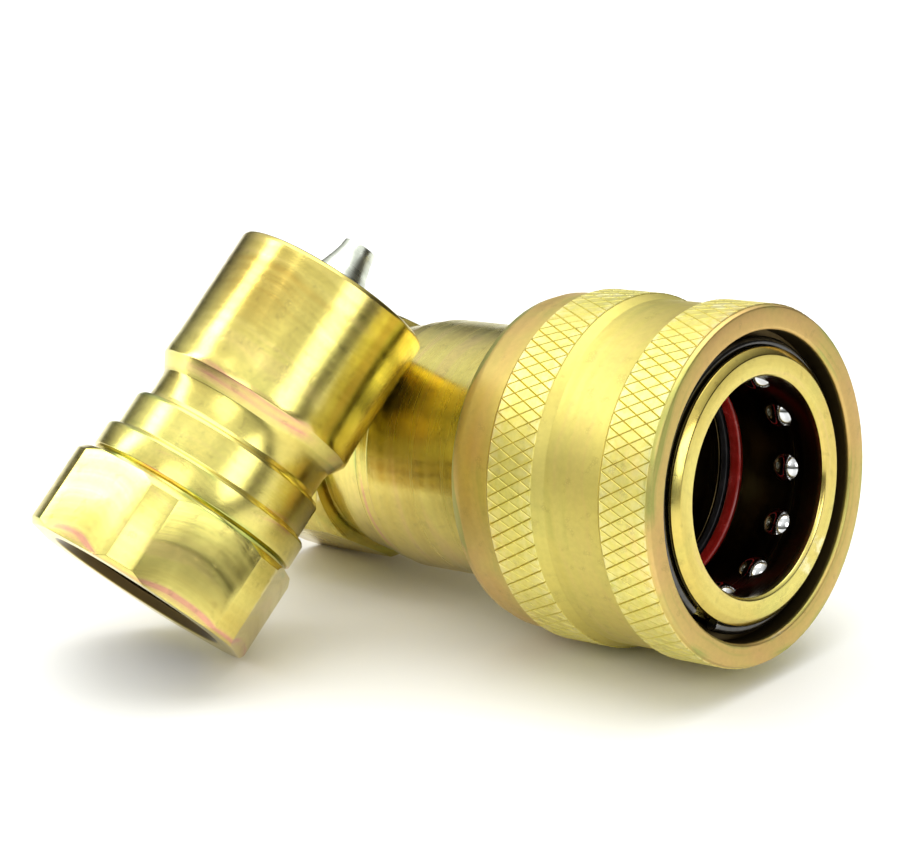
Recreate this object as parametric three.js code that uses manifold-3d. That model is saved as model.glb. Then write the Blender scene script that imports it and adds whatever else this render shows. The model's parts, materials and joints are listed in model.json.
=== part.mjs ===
// Quick disconnect coupler, one inch size: ball-locked socket and valved plug.
// Millimetres, +Z up. Each half is drawn along its own axis: s = 0 is the mating
// face, s < 0 runs back to the pipe port. The halves are then laid on the floor.
import * as THREE from 'three';
import { mergeVertices } from 'three/addons/utils/BufferGeometryUtils.js';
import Module from 'manifold-3d';

const wasm = await Module();
wasm.setup();

// ---- clearances ----
const gap = 0.3;               // between pieces that touch
const slideGap = 0.4;          // between pieces that slide
const ballGap = 0.3;           // all round a locking ball

// ---- driving dimensions: socket ----
const boreR = 18.9;            // takes the plug barrel
const boreDepth = 40.5;
const collarWall = 5;          // body wall at the nose, which the balls pass through
const bodyWall = 4;            // body wall behind the sleeve
const sleeveWall = 4;          // over the spring
const sleeveLength = 45;
const sleeveTravel = 9;
const ballR = 3.175;
const ballCount = 12;
const ballPhase = 22.93;       // degrees from the socket's own Y
const ballTravel = 1.4;
const ringWireR = 1.1;         // snap ring at the nose
const ringPlane = -3;
const ringMouth = 16;          // degrees between the snap ring's ends
const ringMouthAt = -144;      // middle of that opening, degrees from the socket's own Y
const springWireR = 0.8;
const springTurns = 6;
const sealDepth = 3.1;         // seal groove
const sealGrooveWidth = 5.1;
const shoulderLength = 13.1;   // tapered rear of the body
const hexLength = 20.6;        // rear adapter
const hexCornerR = 23.4;       // turned corners
const hexFlats = 43;
const throatR = 12.5;          // flow passage of the rear adapter
const spigotWall = 4.9;        // from the adapter's bore in the body to the plain body
const oRingR = 0.95;
const knurlDiamonds = 80;      // round the sleeve
const knurlRows = 2;           // along each band
const knurlDepth = 0.35;
const knurlLength = 9.6;

// ---- driving dimensions: plug ----
const plugLength = 63.2;
const neckR = 16.7;            // groove the balls drop into
const plugHexCornerR = 22.3;
const plugHexFlats = 41;
const plugHexPhase = 9.4;      // degrees from the plug's own Y

// ---- driving dimensions: valves and pipe thread ----
const seatR = 11;              // valve seat mouth
const chamberR = 13.6;         // valve chamber
const stemR = 4;
const noseReach = 9;           // poppet nose in front of its seat face
const guideSeat = -21.5;       // guide step, behind the seat face
const guideRim = 2.8;
const valveWireR = 0.65;
const valveSpringTurns = 4;
const threadMinorR = 15.15;    // G1 pipe thread
const threadMajorR = 16.45;
const threadPitch = 2.309;

// ---- derived sizes ----
const collarR = boreR + collarWall;
const bodyR = boreR + bodyWall;
const springRoomR = collarR + 3.3;
const counterboreR = springRoomR - slideGap;
const flangeR = springRoomR - slideGap;
const sleeveR = springRoomR + sleeveWall;
const sleeveWaistR = sleeveR - 1;
const ringMeanR = collarR + ringWireR / 2;
const ringGrooveFront = ringPlane + ringWireR + gap;
const ringGrooveBack = ringPlane - ringWireR - gap;
const shoulderS = ringGrooveBack - 0.1;
const ballCentreR = collarR - ballR - 0.025;
const ballPlane = ringGrooveBack - ballR - ballGap - 0.425;
const landR = ballCentreR + ballR + 0.275;
const landEnd = ballPlane - ballR - 1.525;
const rampRise = ballTravel / sleeveTravel;
const flangeFront = 8 - sleeveLength;
const sealR = boreR + sealDepth;
const sealGrooveFront = ballPlane - ballR - 6.125;
const barrelR = boreR - slideGap;
const beadR = boreR - 0.2;
const guideR = chamberR + 1.25;
const guideBoreR = guideR + gap;
const headR = chamberR - 0.7;
const hubR = stemR + 2.6;
const valveFace = -boreDepth - 4;
const spigotBoreR = bodyR - spigotWall;
const spigotR = spigotBoreR - slideGap;
const spigotFront = valveFace + guideSeat - gap - guideRim - gap;
const bodyEnd = spigotFront - 13.7;
const shoulderStart = bodyEnd + shoulderLength;
const hexStart = bodyEnd - gap - 1;
const socketLength = hexLength - hexStart;

// ---- small tools ----
const deg = (d) => (d * Math.PI) / 180;

function clean(geometry) {
  geometry.deleteAttribute('normal');
  geometry.deleteAttribute('uv');
  const merged = mergeVertices(geometry, 1e-4);
  const from = merged.index.array;
  const kept = [];
  for (let i = 0; i < from.length; i += 3) {
    const [a, b, c] = [from[i], from[i + 1], from[i + 2]];
    if (a !== b && b !== c && a !== c) kept.push(a, b, c);
  }
  merged.setIndex(kept);
  merged.computeVertexNormals();
  return merged;
}

// Revolves a closed (radius, s) outline about the piece's own X axis.
function turned(outline, segments = 32) {
  let area = 0;
  outline.forEach(([r, s], i) => {
    const [r2, s2] = outline[(i + 1) % outline.length];
    area += r * s2 - r2 * s;
  });
  const ordered = area > 0 ? outline.slice() : outline.slice().reverse();
  ordered.push(ordered[0]);
  const points = ordered.map(([r, s]) => new THREE.Vector2(r, s));
  return clean(new THREE.LatheGeometry(points, segments).rotateZ(-Math.PI / 2));
}

function toSolid(geometry) {
  return new wasm.Manifold(new wasm.Mesh({
    numProp: 3,
    vertProperties: Float32Array.from(geometry.attributes.position.array),
    triVerts: Uint32Array.from(geometry.index.array),
  }));
}

function toGeometry(solid) {
  const mesh = solid.getMesh();
  const geometry = new THREE.BufferGeometry();
  geometry.setAttribute('position', new THREE.BufferAttribute(mesh.vertProperties, 3));
  geometry.setIndex(new THREE.BufferAttribute(mesh.triVerts, 1));
  return clean(geometry);
}

// A straight rod of radius r from s0 to s1 on the piece's own X axis.
function rod(r, s0, s1, segments = 32) {
  return turned([[0, s0], [r, s0], [r, s1], [0, s1]], segments);
}

// What is left outside a hexagon between s0 and s1, to mill flats with.
function flatsCutter(acrossFlats, phase, s0, s1) {
  const hex = new THREE.CylinderGeometry(acrossFlats / Math.sqrt(3), acrossFlats / Math.sqrt(3),
    s1 - s0 + 4, 6);
  hex.rotateZ(-Math.PI / 2).translate((s0 + s1) / 2, 0, 0);
  // the stock cylinder puts its first corner on +Z after the turn
  hex.rotateX(deg(phase - 90));
  return toSolid(rod(40, s0, s1, 24)).subtract(toSolid(clean(hex)));
}

// V grooves of a pipe thread seen in section, from the port inwards.
function threadOutline(startS, innerS) {
  const turns = Math.floor((innerS - startS) / threadPitch);
  const points = [];
  for (let i = 0; i < turns; i += 1) {
    points.push([threadMinorR, startS + i * threadPitch]);
    points.push([threadMajorR, startS + (i + 0.5) * threadPitch]);
  }
  return points;
}

function roundWire(wireR, sides) {
  const section = new THREE.Shape();
  for (let i = 0; i < sides; i += 1) {
    const a = (i / sides) * 2 * Math.PI;
    const [x, y] = [wireR * Math.cos(a), wireR * Math.sin(a)];
    if (i) section.lineTo(x, y);
    else section.moveTo(x, y);
  }
  section.closePath();
  return section;
}

function helix(meanR, s0, s1, turns, wireR) {
  class Coil extends THREE.Curve {
    getPoint(t, target = new THREE.Vector3()) {
      const angle = t * turns * 2 * Math.PI;
      return target.set(s0 + (s1 - s0) * t, meanR * Math.cos(angle), meanR * Math.sin(angle));
    }
  }
  const options = { steps: Math.round(turns * 15), bevelEnabled: false, extrudePath: new Coil() };
  return clean(new THREE.ExtrudeGeometry(roundWire(wireR, 6), options));
}

function piece(name, geometry, colour, metalness = 1, roughness = 0.35) {
  const material = new THREE.MeshStandardMaterial({ color: colour, metalness, roughness });
  const mesh = new THREE.Mesh(geometry, material);
  mesh.name = name;
  return mesh;
}

const zinc = 0xd9c664;
const steel = 0xc9ccd0;
const wireSteel = 0x8d9096;
const rubber = 0x1c1c1e;

// ---- socket pieces ----
function socketBody() {
  const flangeBack = flangeFront - 3.5;
  const guideStep = valveFace + guideSeat;
  const blank = turned([
    [boreR + 0.5, 0], [collarR - 1.3, 0], [collarR, -1.0], [collarR, ringGrooveFront],
    [ringMeanR - ringWireR - gap, ringGrooveFront], [ringMeanR - ringWireR - gap, ringGrooveBack],
    [collarR, ringGrooveBack], [collarR, flangeFront],
    [flangeR - 0.5, flangeFront], [flangeR, flangeFront - 0.5],
    [flangeR, flangeBack + 0.5], [flangeR - 0.5, flangeBack], [bodyR, flangeBack],
    [bodyR, shoulderStart], [bodyR - 0.5, shoulderStart - 0.5],
    [bodyR - 0.6, shoulderStart - 3.2], [bodyR - 1.0, shoulderStart - 3.6],
    [bodyR - 1.7, bodyEnd + 5.1], [bodyR - 2.3, bodyEnd + 2.1], [bodyR - 3.0, bodyEnd],
    [spigotBoreR + 0.3, bodyEnd], [spigotBoreR, bodyEnd + 0.3],
    [spigotBoreR, spigotFront + gap], [guideBoreR, spigotFront + gap],
    [guideBoreR, guideStep], [chamberR, guideStep], ...seatOutline(valveFace),
    [seatR, valveFace + 1.2], [seatR + 0.8, valveFace + 2.4], [seatR + 3.6, -boreDepth],
    [boreR, -boreDepth], [boreR, sealGrooveFront - sealGrooveWidth],
    [sealR, sealGrooveFront - sealGrooveWidth], [sealR, sealGrooveFront],
    [boreR, sealGrooveFront], [boreR, -0.5],
  ]);
  const pocket = turned(ballPocket(), 10);
  pocket.rotateZ(Math.PI / 2);
  const pockets = [];
  for (let i = 0; i < ballCount; i += 1) {
    const one = pocket.clone();
    one.rotateX(ballAngle(i));
    one.translate(ballPlane, 0, 0);
    pockets.push(toSolid(one));
  }
  return toGeometry(toSolid(blank).subtract(wasm.Manifold.union(pockets)));
}

// The cone that a poppet closes on, from the chamber forwards.
function seatOutline(face) {
  return [[chamberR, face - 1.2 - (chamberR - seatR)], [seatR, face - 1.2]];
}

function ballAngle(i) {
  return deg(ballPhase + (i * 360) / ballCount);
}

// A ball pocket's outline about its own radial axis: a rounded floor and a straight wall.
function ballPocket() {
  const r = ballR + ballGap;
  const outline = [];
  for (let i = 0; i <= 3; i += 1) {
    const a = -Math.PI / 2 + (i / 3) * (Math.PI / 2);
    outline.push([Math.max(0, r * Math.cos(a)), ballCentreR + r * Math.sin(a)]);
  }
  outline.push([r, collarR + 2], [0, collarR + 2]);
  return outline;
}

function ball() {
  return clean(new THREE.SphereGeometry(ballR, 10, 7));
}

// Triangles between two rings of points, the second behind the first. The ring with more
// points has a whole multiple of the other's.
function strip(front, back) {
  const at = (ring, i) => ring.first + (i % ring.columns);
  const coarse = Math.min(front.columns, back.columns);
  const fine = Math.max(front.columns, back.columns) / coarse;
  const faces = [];
  for (let i = 0; i < coarse; i += 1) {
    if (fine === 1) {
      // in a knurled band the fold runs between two low points
      const low = !front.cut || (i + front.parity) % 2 === 0;
      if (low) faces.push(at(front, i), at(back, i), at(back, i + 1));
      if (low) faces.push(at(front, i), at(back, i + 1), at(front, i + 1));
      if (!low) faces.push(at(front, i), at(back, i), at(front, i + 1));
      if (!low) faces.push(at(front, i + 1), at(back, i), at(back, i + 1));
    } else {
      const split = i * fine + fine / 2;
      const frontIsFine = front.columns > back.columns;
      for (let k = i * fine; k < (i + 1) * fine; k += 1) {
        const apex = k < split ? i : i + 1;
        if (frontIsFine) faces.push(at(front, k), at(back, apex), at(front, k + 1));
        else faces.push(at(front, apex), at(back, k), at(back, k + 1));
      }
      if (frontIsFine) faces.push(at(front, split), at(back, i), at(back, i + 1));
      else faces.push(at(front, i), at(back, split), at(front, i + 1));
    }
  }
  return faces;
}

// The sleeve is revolved ring by ring, with more points in the bands that are knurled.
function lockingSleeve() {
  const plainColumns = knurlDiamonds / 2;
  const rearBand = -(sleeveLength - 20.1);
  const rearStep = rearBand - knurlLength;
  const rings = [];
  const plain = (r, s) => rings.push({ r, s, columns: plainColumns });
  const knurl = (from) => {
    for (let j = 0; j <= 2 * knurlRows; j += 1) {
      const s = from - (knurlLength * j) / (2 * knurlRows);
      rings.push({ r: sleeveR, s, columns: 2 * knurlDiamonds, cut: true, parity: j });
    }
  };
  plain(counterboreR + 0.4, 0);
  plain(sleeveR - 0.5, 0);
  knurl(-0.8);
  plain(sleeveWaistR, -0.8 - knurlLength - 0.8);
  plain(sleeveWaistR, rearBand + 2);
  knurl(rearBand);
  plain(sleeveR - 0.9, rearStep - 0.8);
  plain(sleeveR - 1.2, 3.5 - sleeveLength);
  plain(sleeveR - 1.9, 1.2 - sleeveLength);
  plain(sleeveR - 3.0, -sleeveLength);
  plain(springRoomR, -sleeveLength);
  plain(springRoomR, landEnd);
  plain(landR, landEnd);
  plain(landR, ballPlane - 0.3);
  plain(landR + rampRise * (shoulderS - ballPlane), shoulderS);
  plain(counterboreR, shoulderS);
  plain(counterboreR, -0.4);
  const positions = [];
  rings.forEach((ring) => {
    ring.first = positions.length / 3;
    for (let i = 0; i < ring.columns; i += 1) {
      const a = (i / ring.columns) * 2 * Math.PI;
      const r = ring.cut && (i + ring.parity) % 2 === 0 ? ring.r - knurlDepth : ring.r;
      positions.push(ring.s, r * Math.cos(a), r * Math.sin(a));
    }
  });
  const faces = rings.flatMap((ring, j) => strip(ring, rings[(j + 1) % rings.length]));
  const geometry = new THREE.BufferGeometry();
  geometry.setAttribute('position', new THREE.Float32BufferAttribute(positions, 3));
  geometry.setIndex(faces);
  return clean(geometry);
}

function springWasher() {
  const front = landEnd - gap;
  return turned([[landR + 0.15, front], [flangeR, front], [flangeR, front - 1], [landR + 0.15, front - 1]]);
}

function sleeveSpring() {
  const meanR = (collarR + springRoomR) / 2;
  const front = landEnd - 2 * gap - 1 - springWireR;
  return helix(meanR, front, flangeFront + gap + springWireR, springTurns, springWireR);
}

// Round wire ring sprung into the collar groove, with its ends apart.
function snapRing() {
  const firstEnd = deg(ringMouthAt + ringMouth / 2);
  const sweep = deg(360 - ringMouth);
  class Arc extends THREE.Curve {
    getPoint(t, target = new THREE.Vector3()) {
      const a = firstEnd + sweep * t;
      return target.set(ringPlane, ringMeanR * Math.cos(a), ringMeanR * Math.sin(a));
    }
  }
  const options = { steps: 44, bevelEnabled: false, extrudePath: new Arc() };
  return clean(new THREE.ExtrudeGeometry(roundWire(ringWireR, 8), options));
}

function boreSeal() {
  const front = sealGrooveFront - 0.35;
  const back = front - 2.8;
  const outer = sealR - gap;
  const inner = boreR - 0.05;
  return turned([
    [inner, front - 0.45], [inner + 0.55, front], [outer - 0.4, front], [outer, front - 0.45],
    [outer, back + 0.45], [outer - 0.4, back], [inner + 0.55, back], [inner, back + 0.45],
  ]);
}

function backupRing() {
  const back = sealGrooveFront - sealGrooveWidth + 0.35;
  const [inner, outer] = [boreR + 0.05, sealR - gap];
  return turned([[inner, back + 1.25], [outer, back + 1.25], [outer, back], [inner, back]]);
}

function rearAdapter() {
  const end = -socketLength;
  const groove = spigotR - 2.1;
  const blank = turned([
    [throatR, spigotFront], [spigotR - 0.4, spigotFront], [spigotR, spigotFront - 0.4],
    [spigotR, spigotFront - 1.6], [groove, spigotFront - 1.6],
    [groove, spigotFront - 4.1], [spigotR, spigotFront - 4.1],
    [spigotR, bodyEnd - gap], [bodyR - 3.6, bodyEnd - gap], [bodyR - 3.6, hexStart],
    [hexCornerR - 1.4, hexStart], [hexCornerR, hexStart - 0.9],
    [hexCornerR, end + 0.9], [hexCornerR - 1.0, end],
    [threadMajorR + 0.5, end], [threadMinorR, end + 1.8],
    ...threadOutline(end + 2.0, hexStart - 3.1),
    [threadMinorR, hexStart - 1.8], [throatR, hexStart + 0.4],
  ]);
  const flats = flatsCutter(hexFlats, 90, end - 1, hexStart + 0.2);
  return toGeometry(toSolid(blank).subtract(flats));
}

function adapterORing() {
  const meanR = spigotBoreR - gap - oRingR;
  const outline = [];
  for (let i = 0; i < 8; i += 1) {
    const a = (i / 8) * 2 * Math.PI;
    outline.push([meanR + oRingR * Math.cos(a), spigotFront - 2.85 + oRingR * Math.sin(a)]);
  }
  return turned(outline, 28);
}

// ---- valve pieces, the same in both halves, drawn from the seat face ----
function poppet() {
  const groove = seatR - 1.6;
  return turned([
    [0, noseReach], [3.1, noseReach], [3.25, noseReach - 1.6], [3.65, noseReach - 3.2],
    [4.3, 3.9], [4.9, 2.3], [5.7, 0.9], [7.0, -0.1], [seatR - 2, -0.6], [seatR - 1.1, -0.6],
    [seatR - 0.25, -1.45], [groove, -1.45], [groove, -3.0], [headR - 0.6, -3.0],
    [headR, -3.6], [headR, -7.2], [8.4, -7.2], [8.0, -9.0], [stemR, -9.0],
    [stemR, -32.6], [stemR - 0.4, -33], [0, -33],
  ], 24);
}

function poppetSeal() {
  const inner = seatR - 1.3;
  return turned([
    [inner, -1.75], [seatR - 0.1, -1.75], [seatR + 0.75, -2.6], [seatR + 0.75, -2.7], [inner, -2.7],
  ], 24);
}

function poppetSpring() {
  const front = -7.2 - gap - valveWireR;
  return helix(9.7, front, guideSeat + valveWireR + 0.05, valveSpringTurns, valveWireR);
}

function valveGuide() {
  const front = guideSeat - gap;
  const back = front - guideRim;
  const hubBack = guideSeat - 6;
  const rimR = guideR - 2.45;
  const rim = toSolid(turned([[rimR, front], [guideR, front], [guideR, back], [rimR, back]], 30));
  const hub = toSolid(rod(hubR, front, hubBack, 20));
  const bore = toSolid(rod(stemR + 0.35, front + 1, hubBack - 1, 20));
  const armLength = rimR - hubR + 2.2;
  let solid = rim.add(hub);
  for (let i = 0; i < 3; i += 1) {
    const arm = new THREE.BoxGeometry(guideRim, 2.8, armLength);
    arm.translate((front + back) / 2, 0, hubR - 1.4 + armLength / 2);
    arm.rotateX(deg(30 + i * 120));
    solid = solid.add(toSolid(clean(arm)));
  }
  return toGeometry(solid.subtract(bore));
}

// ---- plug pieces ----
const clipFront = guideSeat - gap - guideRim - gap;
const clipBack = clipFront - 1.7;

function plugBody() {
  const end = -plugLength;
  const neckFront = -28.4;
  const hexFront = -46.9;
  const ringR = beadR - 0.2;
  const blank = turned([
    [seatR + 0.6, 0], [barrelR - 0.8, 0], [barrelR - 0.25, -0.25], [barrelR, -0.8],
    [barrelR, -21.4], [beadR - 0.1, -23.6], [beadR, -24.4], [beadR, -25.5],
    [neckR + 0.9, neckFront + 1.1], [neckR + 0.2, neckFront], [neckR, neckFront - 1],
    [neckR, -33.0], [neckR + 0.3, -33.7], [ringR - 0.4, -33.9], [ringR, -34.5],
    [ringR, -40.4], [ringR + 0.4, -40.8], [ringR + 1.1, -40.9], [ringR + 1.5, -41.4],
    [ringR + 1.5, -45.6], [ringR + 1.1, -46.0], [ringR + 0.2, -46.1], [ringR + 0.2, -46.8],
    [plugHexCornerR - 1.1, hexFront], [plugHexCornerR, hexFront - 1.2],
    [plugHexCornerR, end + 0.9], [plugHexCornerR - 0.9, end],
    [threadMajorR + 0.3, end], [threadMinorR, end + 1.6],
    ...threadOutline(end + 1.8, hexFront + 0.4),
    [threadMinorR, -45.5], [guideBoreR, -45.5], [guideBoreR, clipBack],
    [guideBoreR + 1.15, clipBack], [guideBoreR + 1.15, clipFront], [guideBoreR, clipFront],
    [guideBoreR, guideSeat], [chamberR, guideSeat], ...seatOutline(0), [seatR, -0.6],
  ]);
  const flats = flatsCutter(plugHexFlats, plugHexPhase, end - 1, hexFront + 0.4);
  return toGeometry(toSolid(blank).subtract(flats));
}

function guideCirclip() {
  const front = clipFront - 0.25;
  const back = clipBack + 0.25;
  const outer = guideBoreR + 0.85;
  const inner = guideBoreR - 2.05;
  const ring = turned([[inner, front], [outer, front], [outer, back], [inner, back]], 32);
  const mouth = new THREE.BoxGeometry(4, 6, 9);
  mouth.translate((front + back) / 2, 0, inner + 1.9);
  let solid = toSolid(ring).subtract(toSolid(clean(mouth)));
  for (const side of [-1, 1]) {
    const lug = rod(2.1, front, back, 20);
    lug.translate(0, side * 4.6, inner - 0.7);
    const eye = rod(0.8, front + 1, back - 1, 12);
    eye.translate(0, side * 4.6, inner - 1);
    solid = solid.add(toSolid(lug)).subtract(toSolid(eye));
  }
  return toGeometry(solid);
}

// ---- assembly ----
function buildSocket() {
  const socket = new THREE.Group();
  socket.name = 'socket';
  socket.add(piece('socket_body', socketBody(), zinc));
  socket.add(piece('rear_adapter', rearAdapter(), zinc));
  socket.add(piece('adapter_o_ring', adapterORing(), rubber, 0, 0.7));
  socket.add(piece('locking_sleeve', lockingSleeve(), zinc));
  socket.add(piece('spring_washer', springWasher(), steel));
  socket.add(piece('sleeve_spring', sleeveSpring(), wireSteel));
  socket.add(piece('sleeve_snap_ring', snapRing(), 0x3a3a3d, 1, 0.45));
  socket.add(piece('bore_seal', boreSeal(), 0x9c1d14, 0, 0.5));
  socket.add(piece('backup_ring', backupRing(), 0x26262a, 0, 0.6));
  for (let i = 0; i < ballCount; i += 1) {
    const name = `ball_${String(i + 1).padStart(2, '0')}`;
    const one = piece(name, ball(), steel, 1, 0.12);
    const a = ballAngle(i);
    one.position.set(ballPlane, ballCentreR * Math.cos(a), ballCentreR * Math.sin(a));
    socket.add(one);
  }
  const valve = new THREE.Group();
  valve.name = 'socket_valve';
  valve.position.x = valveFace;
  valve.add(piece('socket_poppet', poppet(), steel));
  valve.add(piece('socket_poppet_seal', poppetSeal(), rubber, 0, 0.6));
  valve.add(piece('socket_poppet_spring', poppetSpring(), wireSteel));
  valve.add(piece('socket_valve_guide', valveGuide(), zinc));
  socket.add(valve);
  return socket;
}

function buildPlug() {
  const plug = new THREE.Group();
  plug.name = 'plug';
  plug.add(piece('plug_body', plugBody(), zinc));
  plug.add(piece('plug_poppet', poppet(), steel));
  plug.add(piece('plug_poppet_seal', poppetSeal(), rubber, 0, 0.6));
  plug.add(piece('plug_poppet_spring', poppetSpring(), wireSteel));
  plug.add(piece('plug_valve_guide', valveGuide(), zinc));
  plug.add(piece('plug_guide_circlip', guideCirclip(), wireSteel));
  return plug;
}

// ---- resting layout ----
// The socket lies on its rear knurled band and on a corner of its hexagon. The plug stands
// on the edge of its own hexagon and leans on the socket where the body narrows.
const socketTilt = Math.atan((sleeveR - hexCornerR) / (socketLength - sleeveLength + 9.1));
const plugLean = deg(47.2);     // plug axis above the floor
const plugHeading = deg(79.4);  // plug axis seen from above
const leanPlace = bodyEnd + 9.1;
const leanDistance = barrelR + gap + Math.max(bodyR - 0.45, hexCornerR - 2.6);

function restOnFloor(half) {
  half.updateMatrixWorld(true);
  half.position.z -= new THREE.Box3().setFromObject(half, true).min.z;
}

// Moves the plug over the floor until its axis passes the socket's at leanDistance,
// level with leanPlace on the socket's axis.
function leanPlugOnSocket(plug, socket) {
  const along = new THREE.Vector3(1, 0, 0).applyEuler(socket.rotation);
  const lean = new THREE.Vector3(1, 0, 0).applyEuler(plug.rotation);
  const cosine = along.dot(lean);
  const across = new THREE.Vector3().crossVectors(along, lean).normalize();
  const square = along.clone().addScaledVector(lean, -cosine);
  const rise = plug.position.z - socket.position.z;
  const a = leanDistance - across.z * rise;
  const b = leanPlace * (1 - cosine * cosine) - square.z * rise;
  const determinant = across.x * square.y - across.y * square.x;
  plug.position.x = socket.position.x + (a * square.y - across.y * b) / determinant;
  plug.position.y = socket.position.y + (across.x * b - a * square.x) / determinant;
}

const socket = buildSocket();
socket.rotation.y = -socketTilt;
restOnFloor(socket);
const plug = buildPlug();
plug.rotation.set(0, -plugLean, plugHeading, 'ZYX');
restOnFloor(plug);
leanPlugOnSocket(plug, socket);

const group = new THREE.Group();
group.name = 'quick_disconnect_coupler';
group.add(socket, plug);

// the pair is centred over the origin
group.updateMatrixWorld(true);
const middle = new THREE.Box3().setFromObject(group, true).getCenter(new THREE.Vector3());
for (const half of [socket, plug]) {
  half.position.x -= middle.x;
  half.position.y -= middle.y;
}
group.updateMatrixWorld(true);

export default group;
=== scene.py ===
import json
from math import cos, hypot, pi, radians, sin

import bmesh
import bpy
from mathutils import Matrix, Vector


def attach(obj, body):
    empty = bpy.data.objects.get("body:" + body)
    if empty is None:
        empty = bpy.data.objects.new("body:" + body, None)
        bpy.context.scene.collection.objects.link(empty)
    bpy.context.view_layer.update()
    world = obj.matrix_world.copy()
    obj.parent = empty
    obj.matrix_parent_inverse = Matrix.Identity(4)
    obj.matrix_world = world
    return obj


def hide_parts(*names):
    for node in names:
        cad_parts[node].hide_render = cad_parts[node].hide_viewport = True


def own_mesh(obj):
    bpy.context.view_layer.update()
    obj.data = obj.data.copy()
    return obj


bl_info = {
    "name": "Quick Disconnect Coupler",
    "version": (1, 0, 0),
    "blender": (4, 5, 0),
    "location": "View3D > Sidebar > Coupler",
    "description": "Builds the finished pieces of a ball-locked pipe coupler in its frame",
    "category": "Object",
}

MM = 0.001
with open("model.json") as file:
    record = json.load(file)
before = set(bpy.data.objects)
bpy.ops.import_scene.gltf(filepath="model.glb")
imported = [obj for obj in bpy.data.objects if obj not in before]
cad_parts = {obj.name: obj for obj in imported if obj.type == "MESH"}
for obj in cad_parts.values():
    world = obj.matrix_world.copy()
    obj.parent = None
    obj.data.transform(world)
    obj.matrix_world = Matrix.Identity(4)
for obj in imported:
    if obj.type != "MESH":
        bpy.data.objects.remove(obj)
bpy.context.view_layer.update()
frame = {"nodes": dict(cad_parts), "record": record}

# Sizes that several pieces share, in mm and degrees. Heights are on a half's own bench.
PLUG_LENGTH = 63.2
PLUG_HEX_CORNER = 9.4   # degrees, the angle of a corner of the plug's hexagon
BALLS = 12
FIRST_BALL = 22.93      # degrees, the angle of ball 1
RING_PLANE = -3         # height of the snap ring
RING_MOUTH = 16         # degrees between the snap ring's ends
RING_MOUTH_AT = -144    # degrees, the middle of that opening
SOCKET_SEAT = -44.5     # height of the socket's valve seat; the plug's is at 0
SLEEVE_TRAVEL = 9
VALVE_TRAVEL = 6.5


# ---------------------------------------------------------------- the two benches
# Each half is turned on a bench whose Z axis is the half's own axis, pointing out of the
# mating face, with that face at height 0. A bench matrix lays a finished piece in its place.

def bench(face, outwards, radius, angle, height):
    """The bench matrix from a mount: its radius, angle and height on the bench are given."""
    mount = next(m for m in frame["record"]["mounts"] if m["name"] == face)
    axis = Vector(mount["axis"]) * outwards
    across = Vector((0, 0, 1)).cross(axis).normalized()
    above = axis.cross(across)
    spoke = cos(radians(angle)) * across + sin(radians(angle)) * above
    origin = Vector(mount["pos_m"]) - height * MM * axis - radius * MM * spoke
    matrix = Matrix((across, above, axis)).transposed().to_4x4()
    matrix.translation = origin
    return matrix


SOCKET = bench("socket_nose_face", 1, 21.0, 60, 0)
PLUG = bench("plug_port_face", -1, 19.0, PLUG_HEX_CORNER, -PLUG_LENGTH)


# ---------------------------------------------------------------- sizes and colours

def length(name, value, about):
    return bpy.props.FloatProperty(
        name=name, description=about, default=value * MM, min=0, precision=5, unit="LENGTH"
    )


def colour(name, value, about):
    return bpy.props.FloatVectorProperty(
        name=name, description=about, default=value, size=3, min=0, max=1, subtype="COLOR"
    )


class CouplerSizes(bpy.types.PropertyGroup):
    bore: length("Bore radius", 18.9, "Bore of the socket, which takes the plug")
    collar: length("Collar radius", 23.9, "Nose of the socket body under the sleeve")
    body: length("Body radius", 22.9, "Socket body behind the sleeve")
    sleeve: length("Sleeve radius", 31.2, "Locking sleeve over its knurled bands")
    waist: length("Waist radius", 30.2, "Locking sleeve between its knurled bands")
    knurl_depth: length("Knurl depth", 0.22, "Depth of the knurl's grooves")
    knurl_groove: length("Knurl groove", 0.16, "Half the width of a knurl groove")
    diamonds: bpy.props.IntProperty(
        name="Diamonds", description="Knurl diamonds round the sleeve", default=80, min=12
    )
    ball: length("Ball radius", 3.175, "Locking balls")
    ball_circle: length("Ball circle", 20.7, "Radius at which the locked balls sit")
    ball_height: length("Ball depth", 8.3, "Locking balls behind the mating face")
    ring_wire: length("Snap ring wire", 1.1, "Wire radius of the snap ring")
    barrel: length("Barrel radius", 18.5, "Plug barrel")
    neck: length("Neck radius", 16.7, "Groove of the plug that the balls drop into")
    seat: length("Seat radius", 11.0, "Mouth of a valve seat")
    chamber: length("Chamber radius", 13.6, "Valve chamber")
    thread_minor: length("Thread minor radius", 15.15, "Pipe thread at its crests")
    thread_major: length("Thread major radius", 16.4, "Pipe thread at its roots")
    thread_pitch: length("Thread pitch", 2.309, "Pipe thread pitch")


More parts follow.
